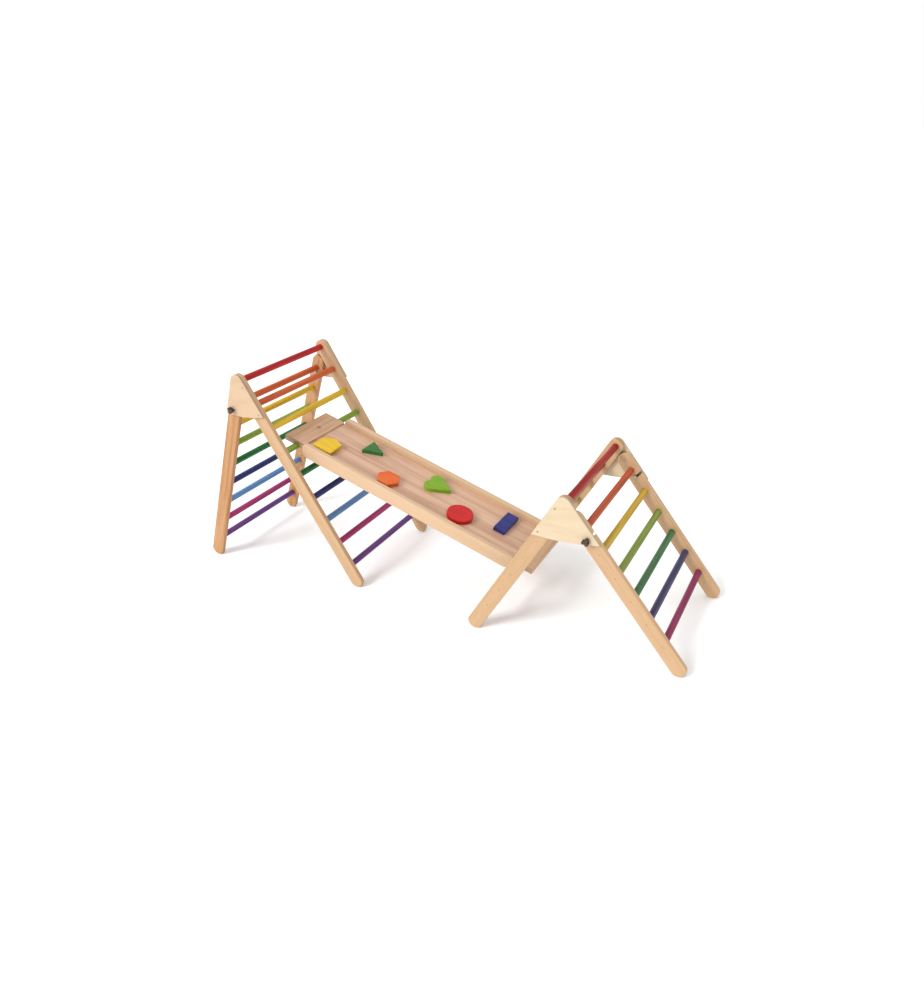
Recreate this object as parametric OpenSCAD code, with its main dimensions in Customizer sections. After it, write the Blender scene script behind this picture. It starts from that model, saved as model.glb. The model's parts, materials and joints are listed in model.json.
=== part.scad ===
// Folding rainbow climbing set: a large and a small folding ladder triangle
// with a ramp between them. X runs from the large triangle to the small one,
// Z is up, and the origin is the centre of the footprint on the floor.

/* [Ladders] */
// Clear width between the two legs of a ladder
inner_w = 445; // [380:5:520]
// Thickness of a leg board
leg_t = 18; // [16:1:24]
// Width of a leg board
leg_w = 54; // [50:1:60]
// Diameter of a rung
rung_d = 24; // [20:1:26]
// Depth of the blind seat of a rung in its leg
rung_seat = 8; // [6:1:10]

/* [Large triangle] */
// Lean of each large ladder from upright, in degrees
large_lean = 25.2; // [24:0.2:28]
// Large leg, from the top rung's axis to the centre of the round foot
large_leg_len = 864; // [850:2:900]
// Distance between neighbouring large rungs
large_pitch = 100; // [98:1:102]
// Top rung's axis to the clamping knob, along the folding leg
large_knob_down = 122; // [121:1:124]
// Depth of the large gusset below the top rung
large_gusset_drop = 128; // [126:1:134]

/* [Small triangle] */
// Lean of each small ladder from upright, in degrees
small_lean = 34.7; // [33:0.1:36]
// Small leg, from the top rung's axis to the centre of the round foot
small_leg_len = 644; // [620:2:680]
// Distance between neighbouring small rungs
small_pitch = 90; // [88:1:94]
// Top rung's axis to the first rung of the small folding ladder
small_fold_first = 102; // [100:1:104]
// Top rung's axis to the clamping knob, along the folding leg
small_knob_down = 130; // [128:1:132]
// Depth of the small gusset below the top rung
small_gusset_drop = 120; // [118:1:126]

/* [Gussets and knobs] */
// Thickness of a plywood gusset
gusset_t = 8; // [6:1:10]
// How far the gusset's lower edge bows down
gusset_bow = 8; // [4:1:12]
// Radius of the lobes of a knob
knob_lobe_r = 6; // [5:0.5:7]
// Height of a knob
knob_h = 16; // [12:1:20]

/* [Ramp] */
// Distance between the two rungs that carry the ramp
ramp_span = 984; // [960:4:1040]
// Clear width between the ramp's side rails
ramp_inner_w = 240; // [200:5:300]
// Thickness of a side rail
rail_t = 20; // [18:1:24]
// Height of a side rail
rail_h = 56; // [48:1:64]
// Thickness of the deck panel
deck_t = 9; // [8:1:10]
// Thickness of an end plank
plank_t = 24; // [22:1:28]
// How far an end plank reaches past its rung
plank_out = 54; // [50:1:64]
// How far an end plank reaches inwards from its rung
plank_in = 37; // [36:1:44]
// Gap between the upper rung's axis and the end of a side rail
rail_head_stop = 40; // [36:1:50]
// Gap between the lower rung's axis and the end of a side rail
rail_foot_stop = 20; // [18:1:30]
// Thickness of a climbing hold
hold_t = 16; // [12:1:18]

/* [Arrangement] */
// How much nearer the small triangle stands than the large one
stagger = 65; // [0:5:80]
// Sideways shift of the ramp from the middle
ramp_shift = -2.5; // [-10:0.5:10]

/* [Hidden] */

$fn = 64;
NEAR = -1;              // the side at -Y
FAR = 1;                // the side at +Y
RIGHT = 1;              // a ladder that leans towards +X
LEFT = -1;              // a ladder that leans towards -X
eps = 1;                // overshoot of a cutting tool
slip = 0.4;             // gap between a folding leg and its gusset
gap = 0.3;              // gap between a moving face and a fixed one

// Stains and materials
beech = "#DDB184";
birch = "#E9CFA6";
deck_wood = "#C79C80";
steel = "#9A9A98";
dark_plastic = "#2E1F1A";
red = "#B3201E";
orange = "#D4572A";
yellow = "#E3B62A";
light_green = "#88A83A";
dark_green = "#2E7446";
dark_blue = "#33356F";
light_blue = "#5E8CC4";
magenta = "#A83168";
purple = "#6B3E7E";

// Ladders
foot_r = leg_w / 2;
rung_r = rung_d / 2;
rung_len = inner_w + 2 * rung_seat;
leg_in = inner_w / 2;                       // |Y| of a leg's inner face
leg_out = leg_in + leg_t;                   // |Y| of a leg's outer face
gusset_out = leg_out + gusset_t;            // |Y| of a gusset's outer face
// The folding leg's round top just clears the fixed leg's edge
large_pivot_down = (leg_w + 1) / sin(2 * large_lean);
small_pivot_down = (leg_w + 1) / sin(2 * small_lean);
large_top_z = foot_r + large_leg_len * cos(large_lean);
small_top_z = foot_r + small_leg_len * cos(small_lean);

// The ramp rests on the fourth large rung and on the sixth small one
large_seat_down = 3 * large_pitch;
small_seat_down = 5 * small_pitch;
upper_seat_z = large_top_z - large_seat_down * cos(large_lean);
lower_seat_z = small_top_z - small_seat_down * cos(small_lean);
ramp_slope = asin((upper_seat_z - lower_seat_z) / ramp_span);
apex_gap = large_seat_down * sin(large_lean) + ramp_span * cos(ramp_slope)
    + small_seat_down * sin(small_lean);
large_reach = large_leg_len * sin(large_lean) + foot_r;
small_reach = small_leg_len * sin(small_lean) + foot_r;
large_x = large_reach - (large_reach + apex_gap + small_reach) / 2;
small_x = large_x + apex_gap;
upper_seat_x = large_x + large_seat_down * sin(large_lean);
large_y = stagger / 2;
small_y = -stagger / 2;

// Screws
screw_r = 2;
head_r = 4;
head_h = 3;
head_sink = 1;
rung_screw_len = 36;
gusset_screw_len = 18;
gusset_screw_head_h = 2.5;
gusset_screw_spots = [[28, 14], [140, 14]];    // [down, out from the axis] on the fixed leg

// Hinge pins, studs and nuts
pin_r = 4;
pin_play = 0.1;
pin_seat = 5;
pin_head_r = 6;
pin_head_h = 1.5;
stud_r = 3;
stud_hole_r = 3.3;
slot_half_w = 3.6;
nut_r = 7;
nut_h = 5;
nut_bore_r = 3.1;
nut_bore_depth = 4.2;
stud_reach = 3.7;       // how far a stud goes into its nut
knob_collar_r = 6.5;
knob_collar_h = 4;
knob_core_r = 7;
knob_lobes = 3;

// Ramp, in its own frame: X down the ramp from the upper seat's axis, Z square to the deck
deck_mid_z = plank_t / 2 + 1;
deck_top_z = deck_mid_z + deck_t / 2;
deck_low_z = deck_mid_z - deck_t / 2;
plank_low_z = deck_mid_z - plank_t / 2;
rail_low_z = deck_mid_z - rail_h / 2;
groove_d = 6;
tongue = 20;
seat_play = 0.3;
rail_top_r = 18;
rail_foot_top_r = 10;
rail_low_r = 34;
deck_edge_y = ramp_inner_w / 2;
deck_wide_from = rail_head_stop + 6;            // where the deck enters the rails' grooves
deck_wide_to = ramp_span - plank_in;
hold_screw_r = 1.75;
hold_screw_head_r = 3.5;
hold_screw_head_h = 2.5;
hold_screw_len = 18;
plank_screw_y = 80;

// Holds, [down the ramp, across it] from the upper seat and the ramp's centre line
block_points = [[60, -100], [58, -32], [98, -10], [138, -26], [142, -100]];
triangle_points = [[205, 10], [205, 92], [278, 52]];
hexagon_at = [382, -64];
hexagon_r = 46;
heart_at = [520, 45];
heart_lobe_r = 28;
heart_lobe_y = 23;
heart_tip = 76;
heart_inset = 0.96;
disc_at = [690, -46];
disc_r = 50;
bar_at = [844, 37];
bar_size = [48, 118];
hold_screw_gap = 15;    // half the distance between the two screws of a hold
hold_centres = [[100, -60], [228, 51], hexagon_at, [530, 45], disc_at, bar_at];

// ---- Placing ----

// Origin on a triangle's top rung axis, +X down the ladder, +Z to the right of it
module on_ladder(top_x, mid_y, top_z, lean, side) {
    translate([top_x, mid_y, top_z]) rotate([0, 90 - side * lean, 0]) children();
}

module on_large_fixed() {
    on_ladder(large_x, large_y, large_top_z, large_lean, RIGHT) children();
}

module on_large_folding() {
    on_ladder(large_x, large_y, large_top_z, large_lean, LEFT) children();
}

module on_small_fixed() {
    on_ladder(small_x, small_y, small_top_z, small_lean, LEFT) children();
}

module on_small_folding() {
    on_ladder(small_x, small_y, small_top_z, small_lean, RIGHT) children();
}

module on_ramp() {
    translate([upper_seat_x, ramp_shift, upper_seat_z]) rotate([0, ramp_slope, 0]) children();
}

// A cylinder along Y that starts at |Y| = from on the given side and runs outwards
module rod_y(r, from, len, side) {
    translate([0, side > 0 ? from : -from, 0]) rotate([side > 0 ? -90 : 90, 0, 0]) cylinder(r = r, h = len);
}

// ---- Ladders ----

// A board with two round ends, from one end's centre to the other's
module leg_bar(top_down, foot_down, thickness, side) {
    y0 = side > 0 ? leg_in : -leg_in - thickness;
    translate([top_down, y0, -leg_w / 2]) cube([foot_down - top_down, thickness, leg_w]);
    translate([top_down, 0, 0]) mirror([1, 0, 0]) leg_end(thickness, side);
    translate([foot_down, 0, 0]) leg_end(thickness, side);
}

// A little more than half a disc, which sinks into the board
module leg_end(thickness, side) {
    y0 = side > 0 ? leg_in : -leg_in - thickness;
    intersection() {
        rod_y(foot_r, leg_in, thickness, side);
        translate([-2 * eps, y0 - eps, -leg_w]) cube([leg_w, thickness + 2 * eps, 2 * leg_w]);
    }
}

// Blind rung seats, with a counterbored screw hole behind each
module rung_seats(downs, thickness, side) {
    for (down = downs) translate([down, 0, 0]) {
        rod_y(rung_r, leg_in - eps, rung_seat + eps, side);
        rod_y(screw_r, leg_in, thickness + eps, side);
        rod_y(head_r, leg_in + thickness - head_sink - head_h, head_sink + head_h + eps, side);
    }
}

module rung(down) {
    translate([down, 0, 0]) difference() {
        translate([0, -rung_len / 2, 0]) rotate([-90, 0, 0]) cylinder(r = rung_r, h = rung_len);
        for (side = [NEAR, FAR]) rod_y(screw_r, leg_out - screw_tip(), screw_tip(), side);
    }
}

// Depth of a rung screw's tip below the leg's outer face
function screw_tip() = head_sink + head_h + rung_screw_len;

module rung_screws(downs, thickness) {
    for (down = downs, side = [NEAR, FAR]) translate([down, 0, 0]) {
        rod_y(head_r, leg_in + thickness - head_sink - head_h, head_h, side);
        rod_y(screw_r, leg_out - screw_tip() + gap, rung_screw_len + thickness - leg_t - gap + eps, side);
    }
}

module fixed_leg(len, pitch, count, lean_side, side) {
    difference() {
        leg_bar(0, len, leg_t, side);
        rung_seats(fixed_downs(pitch, count), leg_t, side);
        for (spot = gusset_screw_spots) translate([spot[0], 0, lean_side * spot[1]])
            rod_y(screw_r, gusset_out - gusset_screw_len, gusset_screw_len, side);
    }
}

module folding_leg(pivot_down, knob_down, len, downs, lean_side, side) {
    thickness = leg_t - slip;
    slot_r = knob_down - pivot_down;
    slot_turn = asin(foot_r / slot_r) + 20;
    difference() {
        leg_bar(pivot_down, len, thickness, side);
        rung_seats(downs, thickness, side);
        translate([pivot_down, 0, 0]) {
            rod_y(pin_r + pin_play, leg_in - eps, thickness + 2 * eps, side);
            translate([slot_r, 0, 0]) rod_y(slot_half_w, leg_in - eps, thickness + 2 * eps, side);
            slot_arc(slot_r, slot_turn, thickness, lean_side, side);
        }
    }
}

// An arc about the pivot, open at the leg's outer edge, so that the leg can leave the stud
module slot_arc(r, turn, thickness, lean_side, side) {
    y0 = side > 0 ? leg_in - eps : -leg_in - thickness - eps;
    translate([0, y0, 0]) rotate([-90, 0, 0]) rotate([0, 0, lean_side > 0 ? -turn : 0])
        rotate_extrude(angle = turn, $fn = 128)
            translate([r - slot_half_w, 0]) square([2 * slot_half_w, thickness + 2 * eps]);
}

function fixed_downs(pitch, count) = [for (i = [0 : count - 1]) i * pitch];
function folding_downs(first, pitch, count) = [for (i = [0 : count - 1]) first + i * pitch];
large_fixed_downs = fixed_downs(large_pitch, 9);
large_folding_downs = folding_downs(large_pitch, large_pitch, 8);
small_fixed_downs = fixed_downs(small_pitch, 7);
small_folding_downs = folding_downs(small_fold_first, small_pitch, 6);

// ---- Gussets and their hardware ----

// Outline about the top rung: round top, sides flush with both legs, bowed lower edge
module gusset_outline(lean, drop) {
    side_len = (drop + foot_r * sin(lean)) / cos(lean);
    half = foot_r * cos(lean) + side_len * sin(lean);
    steps = 12;
    circle(r = foot_r);
    polygon(concat(
        [[foot_r * cos(lean), foot_r * sin(lean)]],
        [for (i = [0 : steps]) let (x = half * (1 - 2 * i / steps))
            [x, -drop - gusset_bow * (1 - pow(x / half, 2))]],
        [[-foot_r * cos(lean), foot_r * sin(lean)]]));
}

// A pair of gussets. fixed_side is the lean of the ladder that they are fastened to
module gussets(top_x, mid_y, top_z, lean, drop, pivot_down, knob_down, fixed_side) {
    for (side = [NEAR, FAR]) difference() {
        translate([top_x, mid_y + (side > 0 ? gusset_out : -leg_out), top_z]) rotate([90, 0, 0])
            linear_extrude(gusset_t) gusset_outline(lean, drop);
        on_ladder(top_x, mid_y, top_z, lean, fixed_side) for (spot = gusset_screw_spots)
            translate([spot[0], 0, fixed_side * spot[1]]) {
                rod_y(screw_r, leg_out - eps, gusset_t + 2 * eps, side);
                rod_y(head_r, gusset_out - gusset_screw_head_h, gusset_screw_head_h + eps, side);
            }
        on_ladder(top_x, mid_y, top_z, lean, -fixed_side) {
            translate([pivot_down, 0, 0]) rod_y(pin_r, leg_out - eps, pin_seat + eps, side);
            translate([knob_down, 0, 0]) rod_y(stud_hole_r, leg_out - eps, gusset_t + 2 * eps, side);
        }
    }
}

module gusset_screws(lean_side, side) {
    for (spot = gusset_screw_spots) translate([spot[0], 0, lean_side * spot[1]]) {
        rod_y(screw_r, gusset_out - gusset_screw_len, gusset_screw_len - eps, side);
        rod_y(head_r, gusset_out - gusset_screw_head_h, gusset_screw_head_h, side);
    }
}

module hinge_pin(side) {
    rod_y(pin_r, leg_in - gap, leg_t + gap + pin_seat, side);
    rod_y(pin_head_r, leg_in - gap - pin_head_h, pin_head_h, side);
}

module clamp_nut(side) {
    difference() {
        rod_y(nut_r, leg_in - gap - nut_h, nut_h, side);
        rod_y(nut_bore_r, leg_in - gap - nut_bore_depth, nut_bore_depth + eps, side);
    }
}

module knob(side) {
    base = gusset_out + gap;
    rod_y(knob_collar_r, base, knob_collar_h, side);
    rod_y(knob_core_r, base + knob_collar_h, knob_h - knob_collar_h, side);
    for (i = [0 : knob_lobes - 1]) rotate([0, i * 360 / knob_lobes, 0]) translate([knob_core_r, 0, 0])
        rod_y(knob_lobe_r, base + knob_collar_h, knob_h - knob_collar_h, side);
    rod_y(stud_r, leg_in - gap - stud_reach, stud_reach + gap + leg_t + gusset_t + gap + eps, side);
}

// ---- Ramp ----

module rail_bar() {
    length = ramp_span - rail_head_stop - rail_foot_stop;
    half = length / 2;
    top = rail_top_r;
    foot_top = rail_foot_top_r;
    low = rail_low_r;
    translate([rail_head_stop, 0, rail_low_z]) {
        translate([low, 0, 0]) cube([length - 2 * low, rail_t, rail_h]);
        translate([top, 0, low]) cube([length - top - foot_top, rail_t, rail_h - low]);
        translate([0, 0, low]) cube([half, rail_t, rail_h - top - low]);
        translate([half, 0, low]) cube([half, rail_t, rail_h - foot_top - low]);
        // A little more than the lower half of a disc at each end
        for (x = [low, length - low]) translate([x, 0, low]) intersection() {
            rotate([-90, 0, 0]) cylinder(r = low, h = rail_t);
            translate([-low - eps, -eps, -low - eps]) cube([2 * (low + eps), rail_t + 2 * eps, low + 3 * eps]);
        }
        translate([top, 0, rail_h - top]) rotate([-90, 0, 0]) cylinder(r = top, h = rail_t);
        translate([length - foot_top, 0, rail_h - foot_top]) rotate([-90, 0, 0]) cylinder(r = foot_top, h = rail_t);
    }
}

module rail(side) {
    difference() {
        translate([0, side > 0 ? deck_edge_y : -deck_edge_y - rail_t, 0]) rail_bar();
        translate([deck_wide_from, side > 0 ? deck_edge_y - eps : -deck_edge_y - groove_d, deck_low_z])
            cube([deck_wide_to - deck_wide_from, groove_d + eps, deck_t]);
    }
}

// Two screws come up through the deck into each hold
module at_hold_screws() {
    for (centre = hold_centres, across = [-hold_screw_gap, hold_screw_gap])
        translate([centre[0], centre[1] + across, deck_low_z]) children();
}

module at_plank_screws() {
    for (x = [plank_in - tongue / 2, ramp_span - plank_in + tongue / 2], y = [-plank_screw_y, plank_screw_y])
        translate([x, y, plank_low_z]) children();
}

module deck() {
    difference() {
        union() {
            translate([deck_wide_from, -deck_edge_y - groove_d, deck_low_z])
                cube([deck_wide_to - deck_wide_from, ramp_inner_w + 2 * groove_d, deck_t]);
            translate([plank_in - tongue, -deck_edge_y, deck_low_z])
                cube([ramp_span - 2 * (plank_in - tongue), ramp_inner_w, deck_t]);
        }
        at_hold_screws() {
            translate([0, 0, -eps]) cylinder(r = hold_screw_r, h = deck_t + 2 * eps);
            translate([0, 0, -eps]) cylinder(r = hold_screw_head_r, h = hold_screw_head_h + eps);
        }
        at_plank_screws() cylinder(r = screw_r, h = plank_t);
    }
}

// An end plank about its rung's axis, with a round groove that drops over the rung
module plank() {
    difference() {
        translate([-plank_out, -deck_edge_y, plank_low_z]) cube([plank_out + plank_in, ramp_inner_w, plank_t]);
        translate([0, -deck_edge_y - eps, 0]) rotate([-90, 0, 0])
            cylinder(r = rung_r + seat_play, h = ramp_inner_w + 2 * eps);
        translate([plank_in - tongue, -deck_edge_y - eps, deck_low_z])
            cube([tongue + eps, ramp_inner_w + 2 * eps, deck_t]);
        for (y = [-plank_screw_y, plank_screw_y]) translate([plank_in - tongue / 2, y, plank_low_z]) {
            translate([0, 0, -eps]) cylinder(r = screw_r, h = plank_screw_tip() + eps);
            translate([0, 0, -eps]) cylinder(r = head_r, h = head_h + eps);
        }
    }
}

// Height of a plank screw's tip above the plank's underside
function plank_screw_tip() = plank_t - 3;

module hold_body(outline_at) {
    difference() {
        translate([0, 0, deck_top_z]) linear_extrude(hold_t) translate(outline_at) children();
        at_hold_screws() cylinder(r = hold_screw_r, h = hold_screw_len);
    }
}

// Two lobes and a point. The straight sides leave each lobe just inside its tangent point
module heart_outline() {
    lobe_angle = atan2(heart_lobe_y, heart_tip);
    touch = acos(heart_lobe_r / norm([heart_tip, heart_lobe_y])) - lobe_angle;
    touch_x = heart_inset * heart_lobe_r * cos(touch);
    touch_y = heart_lobe_y + heart_inset * heart_lobe_r * sin(touch);
    for (y = [-heart_lobe_y, heart_lobe_y]) translate([0, y]) circle(r = heart_lobe_r);
    polygon([[0, -heart_lobe_y], [touch_x, -touch_y], [heart_tip, 0], [touch_x, touch_y], [0, heart_lobe_y]]);
}

// ---- Nodes: large triangle ----

module large_fixed_leg_near() { color(beech) on_large_fixed() fixed_leg(large_leg_len, large_pitch, 9, RIGHT, NEAR); }
module large_fixed_leg_far() { color(beech) on_large_fixed() fixed_leg(large_leg_len, large_pitch, 9, RIGHT, FAR); }
module large_top_rung_red() { color(red) on_large_fixed() rung(large_fixed_downs[0]); }
module large_fixed_rung_orange() { color(orange) on_large_fixed() rung(large_fixed_downs[1]); }
module large_fixed_rung_yellow() { color(yellow) on_large_fixed() rung(large_fixed_downs[2]); }
module large_fixed_rung_light_green() { color(light_green) on_large_fixed() rung(large_fixed_downs[3]); }
module large_fixed_rung_dark_green() { color(dark_green) on_large_fixed() rung(large_fixed_downs[4]); }
module large_fixed_rung_dark_blue() { color(dark_blue) on_large_fixed() rung(large_fixed_downs[5]); }
module large_fixed_rung_light_blue() { color(light_blue) on_large_fixed() rung(large_fixed_downs[6]); }
module large_fixed_rung_magenta() { color(magenta) on_large_fixed() rung(large_fixed_downs[7]); }
module large_fixed_rung_purple() { color(purple) on_large_fixed() rung(large_fixed_downs[8]); }

module large_gussets() {
    color(birch) gussets(large_x, large_y, large_top_z, large_lean, large_gusset_drop,
        large_pivot_down, large_knob_down, RIGHT);
}

module large_frame_fasteners() {
    color(steel) {
        on_large_fixed() rung_screws(large_fixed_downs, leg_t);
        for (side = [NEAR, FAR]) {
            on_large_fixed() gusset_screws(RIGHT, side);
            on_large_folding() translate([large_pivot_down, 0, 0]) hinge_pin(side);
            on_large_folding() translate([large_knob_down, 0, 0]) clamp_nut(side);
        }
    }
}

module large_folding_leg(side) {
    color(beech) on_large_folding()
        folding_leg(large_pivot_down, large_knob_down, large_leg_len, large_folding_downs, LEFT, side);
}
module large_folding_leg_near() { large_folding_leg(NEAR); }
module large_folding_leg_far() { large_folding_leg(FAR); }
module large_folding_rung_orange() { color(orange) on_large_folding() rung(large_folding_downs[0]); }
module large_folding_rung_yellow() { color(yellow) on_large_folding() rung(large_folding_downs[1]); }
module large_folding_rung_light_green() { color(light_green) on_large_folding() rung(large_folding_downs[2]); }
module large_folding_rung_dark_green() { color(dark_green) on_large_folding() rung(large_folding_downs[3]); }
module large_folding_rung_dark_blue() { color(dark_blue) on_large_folding() rung(large_folding_downs[4]); }
module large_folding_rung_light_blue() { color(light_blue) on_large_folding() rung(large_folding_downs[5]); }
module large_folding_rung_magenta() { color(magenta) on_large_folding() rung(large_folding_downs[6]); }
module large_folding_rung_purple() { color(purple) on_large_folding() rung(large_folding_downs[7]); }
module large_folding_screws() { color(steel) on_large_folding() rung_screws(large_folding_downs, leg_t - slip); }

module large_knob(side) { color(dark_plastic) on_large_folding() translate([large_knob_down, 0, 0]) knob(side); }
module large_knob_near() { large_knob(NEAR); }
module large_knob_far() { large_knob(FAR); }

// ---- Nodes: small triangle ----

module small_fixed_leg_near() { color(beech) on_small_fixed() fixed_leg(small_leg_len, small_pitch, 7, LEFT, NEAR); }
module small_fixed_leg_far() { color(beech) on_small_fixed() fixed_leg(small_leg_len, small_pitch, 7, LEFT, FAR); }
module small_top_rung_red() { color(red) on_small_fixed() rung(small_fixed_downs[0]); }
module small_fixed_rung_orange() { color(orange) on_small_fixed() rung(small_fixed_downs[1]); }
module small_fixed_rung_yellow() { color(yellow) on_small_fixed() rung(small_fixed_downs[2]); }
module small_fixed_rung_light_green() { color(light_green) on_small_fixed() rung(small_fixed_downs[3]); }
module small_fixed_rung_dark_green() { color(dark_green) on_small_fixed() rung(small_fixed_downs[4]); }
module small_fixed_rung_dark_blue() { color(dark_blue) on_small_fixed() rung(small_fixed_downs[5]); }
module small_fixed_rung_magenta() { color(magenta) on_small_fixed() rung(small_fixed_downs[6]); }

module small_gussets() {
    color(birch) gussets(small_x, small_y, small_top_z, small_lean, small_gusset_drop,
        small_pivot_down, small_knob_down, LEFT);
}

module small_frame_fasteners() {
    color(steel) {
        on_small_fixed() rung_screws(small_fixed_downs, leg_t);
        for (side = [NEAR, FAR]) {
            on_small_fixed() gusset_screws(LEFT, side);
            on_small_folding() translate([small_pivot_down, 0, 0]) hinge_pin(side);
            on_small_folding() translate([small_knob_down, 0, 0]) clamp_nut(side);
        }
    }
}

module small_folding_leg(side) {
    color(beech) on_small_folding()
        folding_leg(small_pivot_down, small_knob_down, small_leg_len, small_folding_downs, RIGHT, side);
}
module small_folding_leg_near() { small_folding_leg(NEAR); }
module small_folding_leg_far() { small_folding_leg(FAR); }
module small_folding_rung_orange() { color(orange) on_small_folding() rung(small_folding_downs[0]); }
module small_folding_rung_yellow() { color(yellow) on_small_folding() rung(small_folding_downs[1]); }
module small_folding_rung_light_green() { color(light_green) on_small_folding() rung(small_folding_downs[2]); }
module small_folding_rung_dark_green() { color(dark_green) on_small_folding() rung(small_folding_downs[3]); }
module small_folding_rung_dark_blue() { color(dark_blue) on_small_folding() rung(small_folding_downs[4]); }
module small_folding_rung_magenta() { color(magenta) on_small_folding() rung(small_folding_downs[5]); }
module small_folding_screws() { color(steel) on_small_folding() rung_screws(small_folding_downs, leg_t - slip); }

module small_knob(side) { color(dark_plastic) on_small_folding() translate([small_knob_down, 0, 0]) knob(side); }
module small_knob_near() { small_knob(NEAR); }
module small_knob_far() { small_knob(FAR); }

// ---- Nodes: ramp ----

module ramp_rail_near() { color(birch) on_ramp() rail(NEAR); }
module ramp_rail_far() { color(birch) on_ramp() rail(FAR); }
module ramp_deck() { color(deck_wood) on_ramp() deck(); }
module ramp_upper_plank() { color(deck_wood) on_ramp() plank(); }
module ramp_lower_plank() { color(deck_wood) on_ramp() translate([ramp_span, 0, 0]) mirror([1, 0, 0]) plank(); }
module hold_yellow_block() { color(yellow) on_ramp() hold_body([0, 0]) polygon(block_points); }
module hold_green_triangle() { color(dark_green) on_ramp() hold_body([0, 0]) polygon(triangle_points); }
module hold_orange_hexagon() { color(orange) on_ramp() hold_body(hexagon_at) circle(r = hexagon_r, $fn = 6); }
module hold_green_heart() { color(light_green) on_ramp() hold_body(heart_at) heart_outline(); }
module hold_red_disc() { color(red) on_ramp() hold_body(disc_at) circle(r = disc_r); }
module hold_blue_bar() { color(dark_blue) on_ramp() hold_body(bar_at) square(bar_size, center = true); }

module ramp_screws() {
    color(steel) on_ramp() {
        at_hold_screws() {
            cylinder(r = hold_screw_head_r, h = hold_screw_head_h);
            cylinder(r = hold_screw_r, h = hold_screw_len);
        }
        at_plank_screws() {
            cylinder(r = head_r, h = head_h);
            cylinder(r = screw_r, h = plank_screw_tip());
        }
    }
}

large_fixed_leg_near();
large_fixed_leg_far();
large_top_rung_red();
large_fixed_rung_orange();
large_fixed_rung_yellow();
large_fixed_rung_light_green();
large_fixed_rung_dark_green();
large_fixed_rung_dark_blue();
large_fixed_rung_light_blue();
large_fixed_rung_magenta();
large_fixed_rung_purple();
large_gussets();
large_frame_fasteners();
large_folding_leg_near();
large_folding_leg_far();
large_folding_rung_orange();
large_folding_rung_yellow();
large_folding_rung_light_green();
large_folding_rung_dark_green();
large_folding_rung_dark_blue();
large_folding_rung_light_blue();
large_folding_rung_magenta();
large_folding_rung_purple();
large_folding_screws();
large_knob_near();
large_knob_far();
small_fixed_leg_near();
small_fixed_leg_far();
small_top_rung_red();
small_fixed_rung_orange();
small_fixed_rung_yellow();
small_fixed_rung_light_green();
small_fixed_rung_dark_green();
small_fixed_rung_dark_blue();
small_fixed_rung_magenta();
small_gussets();
small_frame_fasteners();
small_folding_leg_near();
small_folding_leg_far();
small_folding_rung_orange();
small_folding_rung_yellow();
small_folding_rung_light_green();
small_folding_rung_dark_green();
small_folding_rung_dark_blue();
small_folding_rung_magenta();
small_folding_screws();
small_knob_near();
small_knob_far();
ramp_rail_near();
ramp_rail_far();
ramp_deck();
ramp_upper_plank();
ramp_lower_plank();
hold_yellow_block();
hold_green_triangle();
hold_orange_hexagon();
hold_green_heart();
hold_red_disc();
hold_blue_bar();
ramp_screws();
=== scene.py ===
"""Looks for the folding rainbow climbing set: stained rungs, varnished wood, painted holds."""
import json
import math

import bmesh
import bpy
from mathutils import Euler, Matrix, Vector
from mathutils.bvhtree import BVHTree

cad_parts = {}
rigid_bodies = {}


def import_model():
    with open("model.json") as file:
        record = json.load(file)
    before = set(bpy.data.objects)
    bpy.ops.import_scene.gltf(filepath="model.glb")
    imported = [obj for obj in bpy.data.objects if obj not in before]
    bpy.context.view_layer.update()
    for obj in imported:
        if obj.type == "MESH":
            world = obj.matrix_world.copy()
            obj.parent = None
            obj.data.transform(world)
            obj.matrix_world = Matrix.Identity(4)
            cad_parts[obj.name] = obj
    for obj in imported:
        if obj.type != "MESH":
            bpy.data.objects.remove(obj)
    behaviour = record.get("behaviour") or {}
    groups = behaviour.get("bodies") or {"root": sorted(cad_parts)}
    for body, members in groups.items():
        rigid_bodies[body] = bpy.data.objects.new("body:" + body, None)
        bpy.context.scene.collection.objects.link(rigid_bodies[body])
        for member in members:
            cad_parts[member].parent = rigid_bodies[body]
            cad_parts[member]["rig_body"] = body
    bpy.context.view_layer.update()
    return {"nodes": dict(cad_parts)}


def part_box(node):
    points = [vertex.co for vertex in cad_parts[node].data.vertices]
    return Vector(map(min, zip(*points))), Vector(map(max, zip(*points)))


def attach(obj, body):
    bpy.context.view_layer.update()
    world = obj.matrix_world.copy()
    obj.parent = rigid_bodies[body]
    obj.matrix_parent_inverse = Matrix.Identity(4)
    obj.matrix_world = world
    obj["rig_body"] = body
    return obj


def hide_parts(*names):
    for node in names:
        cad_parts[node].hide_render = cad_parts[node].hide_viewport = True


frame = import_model()
NODES = frame["nodes"]
MM = 0.001
LARGE_COLOURS = ["orange", "yellow", "light_green", "dark_green",
                 "dark_blue", "light_blue", "magenta", "purple"]
SMALL_COLOURS = ["orange", "yellow", "light_green", "dark_green", "dark_blue", "magenta"]


# ---- Where things are, worked out from the frame ----

def centre(node):
    low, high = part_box(node)
    return (Vector(low) + Vector(high)) / 2


def slope(upper, lower):
    """Turn about Y that carries X onto the line from one node down to another."""
    down = centre(lower) - centre(upper)
    return math.atan2(-down.z, down.x)


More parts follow.
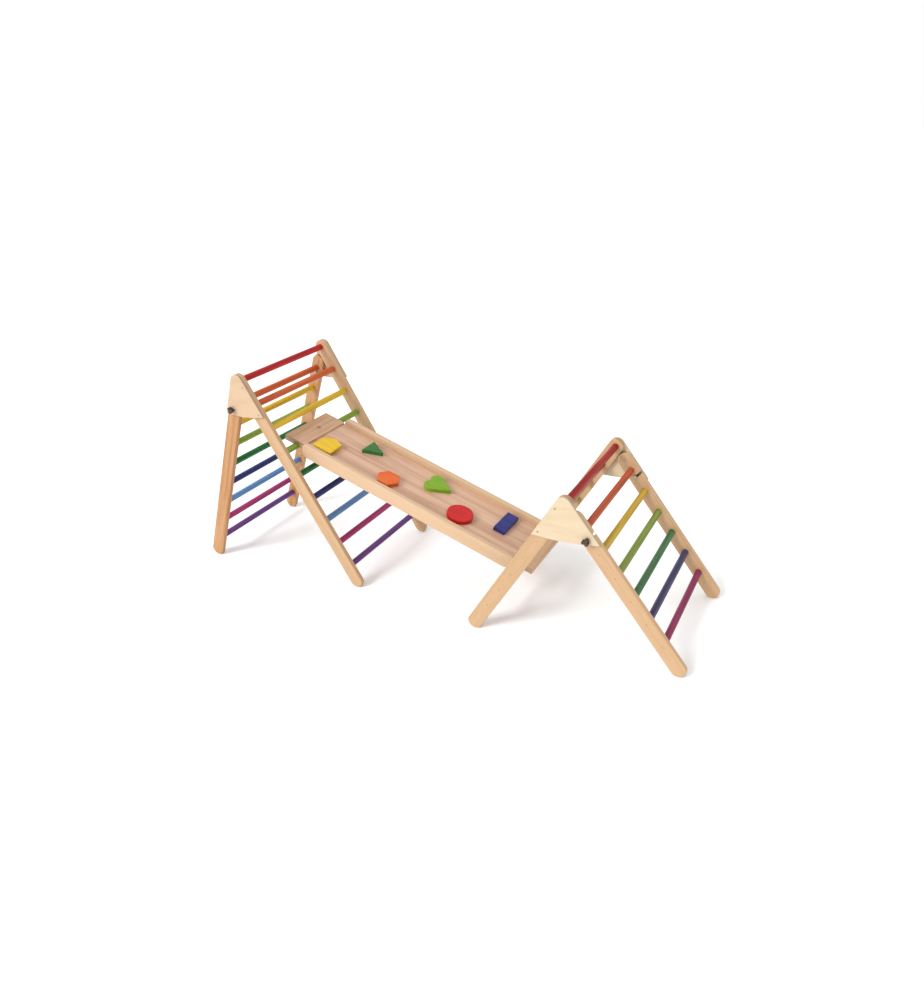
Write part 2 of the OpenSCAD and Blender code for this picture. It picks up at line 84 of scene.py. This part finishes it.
TURNS = {
    "large_fixed": slope("large_top_rung_red", "large_fixed_rung_purple"),
    "large_folding": slope("large_folding_rung_orange", "large_folding_rung_purple"),
    "small_fixed": slope("small_top_rung_red", "small_fixed_rung_magenta"),
    "small_folding": slope("small_folding_rung_orange", "small_folding_rung_magenta"),
    "ramp": slope("ramp_upper_plank", "ramp_lower_plank"),
}
ALONG_RAMP = (0.0, TURNS["ramp"], 0.0)
ALONG_Y = (0.0, 0.0, math.pi / 2)


def add_object(name, data):
    item = bpy.data.objects.new(name, data)
    bpy.context.collection.objects.link(item)
    return item


# ---- Colours, as linear red, green and blue ----

LARGE_STAINS = {
    "red": (0.395, 0.012, 0.013),
    "orange": (0.521, 0.097, 0.025),
    "yellow": (0.605, 0.386, 0.025),
    "light_green": (0.202, 0.311, 0.034),
    "dark_green": (0.020, 0.151, 0.042),
    "dark_blue": (0.025, 0.030, 0.143),
    "light_blue": (0.109, 0.235, 0.479),
    "magenta": (0.336, 0.029, 0.134),
    "purple": (0.126, 0.046, 0.202),
}
SMALL_STAINS = {
    "red": (0.277, 0.008, 0.005),
    "orange": (0.395, 0.067, 0.017),
    "yellow": (0.454, 0.286, 0.024),
    "light_green": (0.176, 0.235, 0.034),
    "dark_green": (0.044, 0.126, 0.044),
    "dark_blue": (0.055, 0.049, 0.118),
    "magenta": (0.235, 0.024, 0.084),
}
PAINTS = {
    "hold_yellow_block": (0.655, 0.420, 0.018),
    "hold_green_triangle": (0.029, 0.134, 0.029),
    "hold_orange_hexagon": (0.622, 0.109, 0.017),
    "hold_green_heart": (0.168, 0.311, 0.012),
    "hold_red_disc": (0.462, 0.008, 0.006),
    "hold_blue_bar": (0.018, 0.022, 0.151),
}

# Each wood has a light and a dark tone.
BEECH = ((0.533, 0.344, 0.193), (0.445, 0.265, 0.130))
AMBER_BEECH = ((0.512, 0.281, 0.126), (0.370, 0.155, 0.046))
PALE_BEECH = ((0.580, 0.399, 0.252), (0.521, 0.336, 0.197))
STEAMED_BEECH = ((0.664, 0.428, 0.290), (0.454, 0.265, 0.172))
PLANK_BEECH = ((0.64, 0.40, 0.25), (0.47, 0.28, 0.17))
PLUG_BEECH = ((0.50, 0.31, 0.17), (0.41, 0.23, 0.12))
ROSY_BIRCH = ((0.546, 0.374, 0.239), (0.512, 0.340, 0.210))
BIRCH = ((0.580, 0.462, 0.315), (0.550, 0.424, 0.273))

KNOB_BLACK = (0.028, 0.014, 0.010)
STEEL_TONES = ((0.42, 0.37, 0.30), (0.30, 0.26, 0.21))
FLOOR_TONES = ((0.95, 0.95, 0.945), (0.93, 0.93, 0.925))


def tint(colour, factor=1.0, lift=0.0):
    """The colour made lighter or darker, as a shader takes it."""
    return (*(min(1.0, c * factor + lift) for c in colour), 1.0)


# ---- Shader nodes ----

def add(tree, kind, inputs=(), **settings):
    """Adds a shader node. inputs maps a socket to a value or to another node's output."""
    node = tree.nodes.new(kind)
    for key, value in settings.items():
        setattr(node, key, value)
    for key, value in dict(inputs).items():
        if isinstance(value, bpy.types.NodeSocket):
            tree.links.new(value, node.inputs[key])
        else:
            node.inputs[key].default_value = value
    return node


def new_material(name, roughness, coat=0.0, metallic=0.0, specular=0.5):
    material = bpy.data.materials.new(name)
    material.use_nodes = True
    shader = material.node_tree.nodes["Principled BSDF"]
    shader.inputs["Roughness"].default_value = roughness
    shader.inputs["Metallic"].default_value = metallic
    shader.inputs["Specular IOR Level"].default_value = specular
    shader.inputs["Coat Weight"].default_value = coat
    shader.inputs["Coat Roughness"].default_value = 0.25
    return material, material.node_tree, shader


def maths(tree, operation, *values):
    return add(tree, "ShaderNodeMath", dict(enumerate(values)), operation=operation).outputs[0]


def noise(tree, vector, scale, detail=4.0, roughness=0.55, distortion=0.0):
    stretched = add(tree, "ShaderNodeVectorMath", {0: vector, 1: scale}, operation="MULTIPLY")
    return add(tree, "ShaderNodeTexNoise", {
        "Vector": stretched.outputs[0], "Scale": 1.0, "Detail": detail,
        "Roughness": roughness, "Distortion": distortion}).outputs["Fac"]


def ramp(tree, factor, low, high, low_value=0.0, high_value=1.0):
    return add(tree, "ShaderNodeMapRange", {
        "Value": factor, "From Min": low, "From Max": high,
        "To Min": low_value, "To Max": high_value}, interpolation_type="SMOOTHSTEP").outputs[0]


def mix(tree, factor, colour_a, colour_b):
    node = add(tree, "ShaderNodeMix", data_type="RGBA")
    for place, value in ((0, factor), (6, colour_a), (7, colour_b)):
        if isinstance(value, bpy.types.NodeSocket):
            tree.links.new(value, node.inputs[place])
        else:
            node.inputs[place].default_value = value
    return node.outputs[2]


def finish_shader(tree, shader, colour, roughness, height, strength, distance):
    """Wires the colour, the roughness and a bump into the shader."""
    relief = add(tree, "ShaderNodeBump", {"Height": height, "Strength": strength, "Distance": distance})
    tree.links.new(colour, shader.inputs["Base Color"])
    tree.links.new(roughness, shader.inputs["Roughness"])
    tree.links.new(relief.outputs[0], shader.inputs["Normal"])


def object_space(tree, output="Object"):
    return add(tree, "ShaderNodeTexCoord").outputs[output]


def turned(tree, vector, rotation=(0.0, 0.0, 0.0), location=(0.0, 0.0, 0.0)):
    """The vector as it reads in a space that is turned and moved."""
    return add(tree, "ShaderNodeMapping", {
        "Vector": vector, "Location": location, "Rotation": rotation}, vector_type="TEXTURE").outputs[0]


def squareness(tree, normal, axis):
    """How squarely a face looks along an axis, from 0 to 1."""
    part = add(tree, "ShaderNodeSeparateXYZ", {0: normal}).outputs[axis]
    return maths(tree, "ABSOLUTE", part)


# ---- Materials ----

def end_grain(tree, rotation):
    """1 on faces that are cut across the grain."""
    facing = turned(tree, object_space(tree, "Normal"), rotation=rotation)
    return ramp(tree, squareness(tree, facing, "X"), 0.55, 0.9)


def knot_mark(tree, place):
    """1 at a small round knot, fading out over its rim."""
    source = object_space(tree)
    wander = add(tree, "ShaderNodeTexNoise", {"Vector": source, "Scale": 90.0, "Detail": 3.0}).outputs["Fac"]
    away = add(tree, "ShaderNodeVectorMath", {0: source, 1: place}, operation="DISTANCE").outputs["Value"]
    rim = maths(tree, "MULTIPLY_ADD", wander, 12 * MM, away)
    return ramp(tree, rim, 9 * MM, 21 * MM, 0.75, 0.0)


def wood(name, tones, rotation, offset, streak=0.5, figure=0.35, knot=None):
    """Varnished board: broad streaks, growth-ring figure, fine fibre, flecks and end grain."""
    light, dark = tones
    flecks = 0.35
    material, tree, shader = new_material(name, 0.42, coat=0.05, specular=0.35)
    place = turned(tree, object_space(tree), rotation=rotation, location=offset)
    broad = ramp(tree, noise(tree, place, (1.6, 24, 24), detail=3.0, distortion=0.6), 0.34, 0.68)
    rings = ramp(tree, noise(tree, place, (2.2, 120, 120), detail=5.0, distortion=0.3), 0.40, 0.66)
    fibre = noise(tree, place, (22, 900, 900), detail=2.0)
    fleck = ramp(tree, noise(tree, place, (150, 1300, 1300), detail=1.0), 0.62, 0.74)
    shade = maths(tree, "MULTIPLY_ADD", rings, figure, maths(tree, "MULTIPLY", broad, streak))
    deep = tint(dark, 0.62)
    colour = mix(tree, shade, tint(light), tint(dark))
    colour = mix(tree, maths(tree, "MULTIPLY", fleck, flecks), colour, deep)
    colour = mix(tree, ramp(tree, fibre, 0.3, 0.75, 0.0, 0.22), colour, deep)
    if knot:
        colour = mix(tree, knot_mark(tree, knot), colour, tint(dark, 0.45))
    end_rings = ramp(tree, noise(tree, place, (30, 260, 90), detail=3.0), 0.4, 0.62, 0.25, 0.75)
    end_colour = mix(tree, end_rings, tint(dark, 0.86), deep)
    colour = mix(tree, end_grain(tree, rotation), colour, end_colour)
    gloss = ramp(tree, broad, 0.0, 1.0, 0.37, 0.51)
    finish_shader(tree, shader, colour, gloss, fibre, 0.22, 0.4 * MM)
    return material


def stained_rung(name, colour, seed):
    """Turned dowel with a translucent stain: grain, lighter streaks and handled gloss."""
    material, tree, shader = new_material(name, 0.4, specular=0.14)
    place = turned(tree, object_space(tree), rotation=ALONG_Y, location=(0.0, 0.31 * seed, 0.17 * seed))
    broad = ramp(tree, noise(tree, place, (3.0, 90, 90), detail=4.0, distortion=0.4), 0.36, 0.7)
    fibre = noise(tree, place, (18, 800, 800), detail=2.0)
    deep = tint(colour, 0.72)
    tone = mix(tree, broad, tint(colour, 1.15, 0.006), deep)
    tone = mix(tree, ramp(tree, fibre, 0.45, 0.72, 0.0, 0.4), tone, deep)
    worn = ramp(tree, noise(tree, place, (9, 40, 40), detail=5.0), 0.66, 0.82, 0.0, 0.3)
    tone = mix(tree, worn, tone, tint(colour, 0.85, 0.06))
    finish_shader(tree, shader, tone, ramp(tree, broad, 0.0, 1.0, 0.3, 0.46), fibre, 0.3, 0.3 * MM)
    return material


def plywood(name, tones, offset):
    """Birch face veneer with its grain along X, and plies on the edges."""
    light, dark = tones
    ply_pair = 3.2 * MM
    material, tree, shader = new_material(name, 0.44, coat=0.1)
    source = object_space(tree)
    place = turned(tree, source, location=offset)
    broad = ramp(tree, noise(tree, place, (5, 40, 34), detail=4.0, distortion=1.2), 0.36, 0.7)
    fibre = noise(tree, place, (60, 700, 700), detail=2.0)
    face = mix(tree, broad, tint(light), tint(dark))
    face = mix(tree, ramp(tree, fibre, 0.4, 0.75, 0.0, 0.2), face, tint(dark, 0.8))
    depth = add(tree, "ShaderNodeSeparateXYZ", {0: source}).outputs["Y"]
    wave = maths(tree, "SINE", maths(tree, "MULTIPLY", depth, 2 * math.pi / ply_pair))
    plies = mix(tree, ramp(tree, wave, -0.25, 0.25), tint(light, 0.9), tint(dark, 0.52))
    flat = ramp(tree, squareness(tree, object_space(tree, "Normal"), "Y"), 0.5, 0.8)
    colour = mix(tree, flat, plies, face)
    finish_shader(tree, shader, colour, ramp(tree, broad, 0.0, 1.0, 0.4, 0.5), fibre, 0.16, 0.3 * MM)
    return material


def painted(name, colour, seed):
    """Satin paint over wood: a little brush texture, and paint that thins in places."""
    material, tree, shader = new_material(name, 0.4, coat=0.05, specular=0.2)
    place = turned(tree, object_space(tree), rotation=ALONG_RAMP, location=(0.23 * seed, 0.11 * seed, 0.0))
    broad = ramp(tree, noise(tree, place, (14, 60, 60), detail=4.0), 0.35, 0.7)
    brush = noise(tree, place, (40, 600, 600), detail=3.0)
    tone = mix(tree, broad, tint(colour, 1.05, 0.004), tint(colour, 0.9))
    tone = mix(tree, ramp(tree, brush, 0.5, 0.75, 0.0, 0.18), tone, tint(colour, 0.78))
    finish_shader(tree, shader, tone, ramp(tree, brush, 0.3, 0.7, 0.28, 0.42), brush, 0.25, 0.3 * MM)
    return material


def moulded_plastic(name, colour):
    """Dark plastic with a pitted skin and cloudy gloss."""
    material, tree, shader = new_material(name, 0.5)
    source = object_space(tree)
    pits = noise(tree, source, (1900, 1900, 1900), detail=2.0)
    cloud = noise(tree, source, (60, 60, 60), detail=3.0)
    tone = mix(tree, ramp(tree, cloud, 0.35, 0.7), tint(colour), tint(colour, 1.7, 0.004))
    finish_shader(tree, shader, tone, ramp(tree, cloud, 0.3, 0.7, 0.42, 0.6), pits, 0.35, 0.2 * MM)
    return material


def plated_steel(name, tones):
    """Plated steel with fine brush lines along Y."""
    material, tree, shader = new_material(name, 0.3, metallic=1.0)
    brushed = noise(tree, object_space(tree), (900, 60, 900), detail=3.0)
    tone = mix(tree, ramp(tree, brushed, 0.3, 0.7), *(tint(colour) for colour in tones))
    finish_shader(tree, shader, tone, ramp(tree, brushed, 0.3, 0.7, 0.24, 0.42), brushed, 0.15, 0.1 * MM)
    return material


# ---- Boards with rounded edges ----

WELD = 0.02 * MM
FLAT = math.radians(0.5)
SHARP = math.radians(50)
SMOOTH_UP_TO = math.radians(40)
TOUCHING = 0.6 * MM
SMALLEST_OUTLINE = 30 * MM
BOARD_ROUND = 3.0 * MM
PLANK_ROUND = 2.0 * MM
PLYWOOD_ROUND = 1.5 * MM


def dress(node, material):
    for slot in NODES[node].material_slots:
        slot.link = "OBJECT"
        slot.material = material


def edge_chains(edges):
    """Groups edges that meet at their ends."""
    left = set(edges)
    while left:
        chain = []
        todo = [left.pop()]
        while todo:
            edge = todo.pop()
            chain.append(edge)
            for other in {e for vert in edge.verts for e in vert.link_edges} & left:
                left.remove(other)
                todo.append(other)
        yield chain


def chain_size(chain):
    spots = [vert.co for edge in chain for vert in edge.verts]
    return max(max(line) - min(line) for line in zip(*spots))


def surface_tree(node):
    mesh = NODES[node].data
    return BVHTree.FromPolygons([v.co for v in mesh.vertices], [p.vertices for p in mesh.polygons])


def outline_edges(form, against):
    """The sharp outer edges to round. Small holes keep theirs, and so does an edge that is
    pressed against a neighbour."""
    neighbours = [surface_tree(node) for node in against]

    def pressed(edge):
        middle = (edge.verts[0].co + edge.verts[1].co) / 2
        return any(tree.find_nearest(middle)[3] < TOUCHING for tree in neighbours)

    sharp = [e for e in form.edges if e.is_manifold and e.is_convex
             and e.calc_face_angle() > SHARP and not pressed(e)]
    return [e for chain in edge_chains(sharp) if chain_size(chain) > SMALLEST_OUTLINE for e in chain]


def rounded(node, width, material, against=(), segments=3):
    """Stands in for a CAD node with its long outer edges rounded over."""
    form = bmesh.new()
    form.from_mesh(NODES[node].data)
    bmesh.ops.remove_doubles(form, verts=form.verts, dist=WELD)
    bmesh.ops.dissolve_limit(form, angle_limit=FLAT, verts=form.verts, edges=form.edges)
    bmesh.ops.bevel(form, geom=outline_edges(form, against), offset=width, offset_type="OFFSET",
                    segments=segments, profile=0.5, affect="EDGES", clamp_overlap=False)
    mesh = bpy.data.meshes.new(node + "_rounded")
    form.to_mesh(mesh)
    form.free()
    mesh.shade_smooth()
    mesh.set_sharp_from_angle(angle=SMOOTH_UP_TO)
    mesh.materials.append(material)
    piece = add_object(node + "_rounded", mesh)
    piece.modifiers.new("flat_faces", "WEIGHTED_NORMAL").keep_sharp = True
    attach(piece, NODES[node]["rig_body"])
    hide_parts(node)


# ---- Plugs over the rung screws ----

# Radius and height above the leg's face, in mm, from the sunk rim to the tip of a low dome.
PLUG_PROFILE = [(3.9, -0.8), (3.9, 0.05), (3.6, 0.2), (2.4, 0.28), (0.0, 0.3)]
PLUG_SIDES = 20


def add_plug(form, spot, face, out):
    """A dome on a leg's face, at the rung's centre. out is 1 or -1 along Y."""
    angles = [2 * math.pi * k / PLUG_SIDES for k in range(PLUG_SIDES)]
    rings = [[form.verts.new((
        spot.x + radius * MM * math.cos(angle),
        face + out * height * MM,
        spot.z + radius * MM * math.sin(angle))) for angle in angles]
        for radius, height in PLUG_PROFILE[:-1]]
    tip = form.verts.new((spot.x, face + out * PLUG_PROFILE[-1][1] * MM, spot.z))
    following = [(k, (k + 1) % PLUG_SIDES) for k in range(PLUG_SIDES)]
    for inner, outer in zip(rings, rings[1:]):
        for k, m in following:
            form.faces.new((inner[k], inner[m], outer[m], outer[k]))
    for k, m in following:
        form.faces.new((rings[-1][k], rings[-1][m], tip))


def screw_plugs(prefix, colours, material, covered):
    """Flush wooden plugs on the outer faces of a ladder's legs.

    covered is how far down from the top rung a gusset hides the leg for good."""
    top = centre(prefix.split("_")[0] + "_top_rung_red")
    form = bmesh.new()
    for side in ("near", "far"):
        low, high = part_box(f"{prefix}_leg_{side}")
        face, out = (low.y, -1) if side == "near" else (high.y, 1)
        for colour in colours:
            spot = centre(f"{prefix}_rung_{colour}")
            if (spot - top).length >= covered:
                add_plug(form, spot, face, out)
    bmesh.ops.recalc_face_normals(form, faces=form.faces)
    mesh = bpy.data.meshes.new(f"{prefix}_plugs")
    form.to_mesh(mesh)
    form.free()
    mesh.shade_smooth()
    mesh.materials.append(material)
    piece = add_object(f"{prefix}_plugs", mesh)
    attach(piece, NODES[f"{prefix}_leg_near"]["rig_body"])


# ---- The ladders ----

# For each ladder: its rungs' colours, where its seeds start, and how far down from the top rung
# a gusset hides its legs for good.
LADDERS = {
    "large_fixed": (LARGE_COLOURS, 1, 150 * MM),
    "large_folding": (LARGE_COLOURS, 12, 0.0),
    "small_fixed": (SMALL_COLOURS, 23, 150 * MM),
    "small_folding": (SMALL_COLOURS, 34, 0.0),
}


def dress_ladder(prefix, colours, seed):
    amber = prefix == "large_folding"
    tones = AMBER_BEECH if amber else BEECH
    streak = 0.75 if amber else 0.5
    for k, side in enumerate(("near", "far")):
        node = f"{prefix}_leg_{side}"
        offset = (0.4 * seed, 0.9 * k + seed, 0.3 * seed)
        grain = wood(f"{node}_wood", tones, (0.0, TURNS[prefix], 0.0), offset, streak=streak)
        rounded(node, BOARD_ROUND, grain)
    stains = LARGE_STAINS if prefix.startswith("large") else SMALL_STAINS
    for k, colour in enumerate(colours):
        stain = stained_rung(f"{prefix}_{colour}_stain", stains[colour], seed + k)
        dress(f"{prefix}_rung_{colour}", stain)


for ladder, (rung_colours, first_seed, _) in LADDERS.items():
    dress_ladder(ladder, rung_colours, first_seed)
dress("large_top_rung_red", stained_rung("large_red_stain", LARGE_STAINS["red"], 0))
dress("small_top_rung_red", stained_rung("small_red_stain", SMALL_STAINS["red"], 22))
for ladder, (rung_colours, _, hidden) in LADDERS.items():
    plug_wood = wood(f"{ladder}_plug_wood", PLUG_BEECH, (0.0, TURNS[ladder], 0.0), (0.0, 0.0, 0.0))
    screw_plugs(ladder, rung_colours, plug_wood, hidden)
for k, (node, tones) in enumerate((("large_gussets", ROSY_BIRCH), ("small_gussets", BIRCH))):
    rounded(node, PLYWOOD_ROUND, plywood(f"{node}_birch", tones, (0.7 * k, 0.0, 0.4 * k)))


# ---- The ramp ----

KNOT = centre("ramp_upper_plank") + Vector((10, 12, 12)) * MM

for k, node in enumerate(("ramp_rail_near", "ramp_rail_far")):
    grain = wood(f"{node}_wood", PALE_BEECH, ALONG_RAMP, (0.3, 0.8 * k, 0.2), streak=0.4, figure=0.3)
    rounded(node, BOARD_ROUND, grain, against=("ramp_deck",))
dress("ramp_deck", wood("ramp_deck_wood", STEAMED_BEECH, ALONG_RAMP, (1.7, 0.4, 0.6),
                        streak=0.8, figure=0.3))
for k, (node, knot) in enumerate((("ramp_upper_plank", KNOT), ("ramp_lower_plank", None))):
    grain = wood(f"{node}_wood", PLANK_BEECH, ALONG_Y, (2.3 + k, 0.5, 0.1 * k),
                 streak=0.7, figure=0.45, knot=knot)
    rounded(node, PLANK_ROUND, grain, against=("ramp_deck",))
for k, (node, colour) in enumerate(PAINTS.items()):
    rounded(node, BOARD_ROUND, painted(f"{node}_paint", colour, k), against=("ramp_deck",), segments=4)


# ---- Knobs and fasteners ----

PLASTIC = moulded_plastic("knob_plastic", KNOB_BLACK)
STEEL = plated_steel("fastener_steel", STEEL_TONES)
for node in ("large_knob_near", "large_knob_far", "small_knob_near", "small_knob_far"):
    dress(node, PLASTIC)
for node in ("large_frame_fasteners", "large_folding_screws", "small_frame_fasteners",
             "small_folding_screws", "ramp_screws"):
    dress(node, STEEL)


# ---- Floor, light and camera ----

FLOOR_HALF = 40.0
KEY_FROM = (-1.05, -2.0, 1.8)
CAMERA_PLACE = (1.4646, -2.0865, 1.5989)
CAMERA_FORWARD = (-0.39710, 0.79478, -0.45894)
CAMERA_ROLL = math.radians(-3.64)


def make_floor():
    corners = [(-FLOOR_HALF, -FLOOR_HALF, 0), (FLOOR_HALF, -FLOOR_HALF, 0),
               (FLOOR_HALF, FLOOR_HALF, 0), (-FLOOR_HALF, FLOOR_HALF, 0)]
    mesh = bpy.data.meshes.new("floor")
    mesh.from_pydata(corners, [], [(0, 1, 2, 3)])
    material, tree, shader = new_material("floor_paint", 0.7)
    cloud = ramp(tree, noise(tree, object_space(tree), (1.5, 1.5, 1.5)), 0.3, 0.7)
    tone = mix(tree, cloud, *(tint(colour) for colour in FLOOR_TONES))
    tree.links.new(tone, shader.inputs["Base Color"])
    mesh.materials.append(material)
    add_object("floor", mesh)


def make_lights():
    """An even white studio, with one broad soft sun from the front left."""
    world = bpy.data.worlds.new("studio")
    world.use_nodes = True
    backdrop = world.node_tree.nodes["Background"]
    backdrop.inputs["Color"].default_value = (1.0, 1.0, 1.0, 1.0)
    backdrop.inputs["Strength"].default_value = 1.0
    bpy.context.scene.world = world
    key = bpy.data.lights.new("key", "SUN")
    key.energy = 2.3
    key.angle = math.radians(24.0)
    light = add_object("key", key)
    light.location = KEY_FROM
    light.rotation_euler = (-Vector(KEY_FROM)).to_track_quat("-Z", "Y").to_euler()


def make_camera():
    """In front of the small triangle and to its right, looking back, left and down at the set."""
    lens = bpy.data.cameras.new("camera")
    lens.lens = 26.74
    lens.shift_x = -0.074
    lens.shift_y = 0.0015
    camera = add_object("camera", lens)
    camera.location = CAMERA_PLACE
    camera.rotation_mode = "QUATERNION"
    level = Vector(CAMERA_FORWARD).to_track_quat("-Z", "Y")
    camera.rotation_quaternion = level @ Euler((0.0, 0.0, CAMERA_ROLL)).to_quaternion()
    bpy.context.scene.camera = camera


make_floor()
make_lights()
make_camera()
bpy.context.scene.view_settings.view_transform = "Standard"
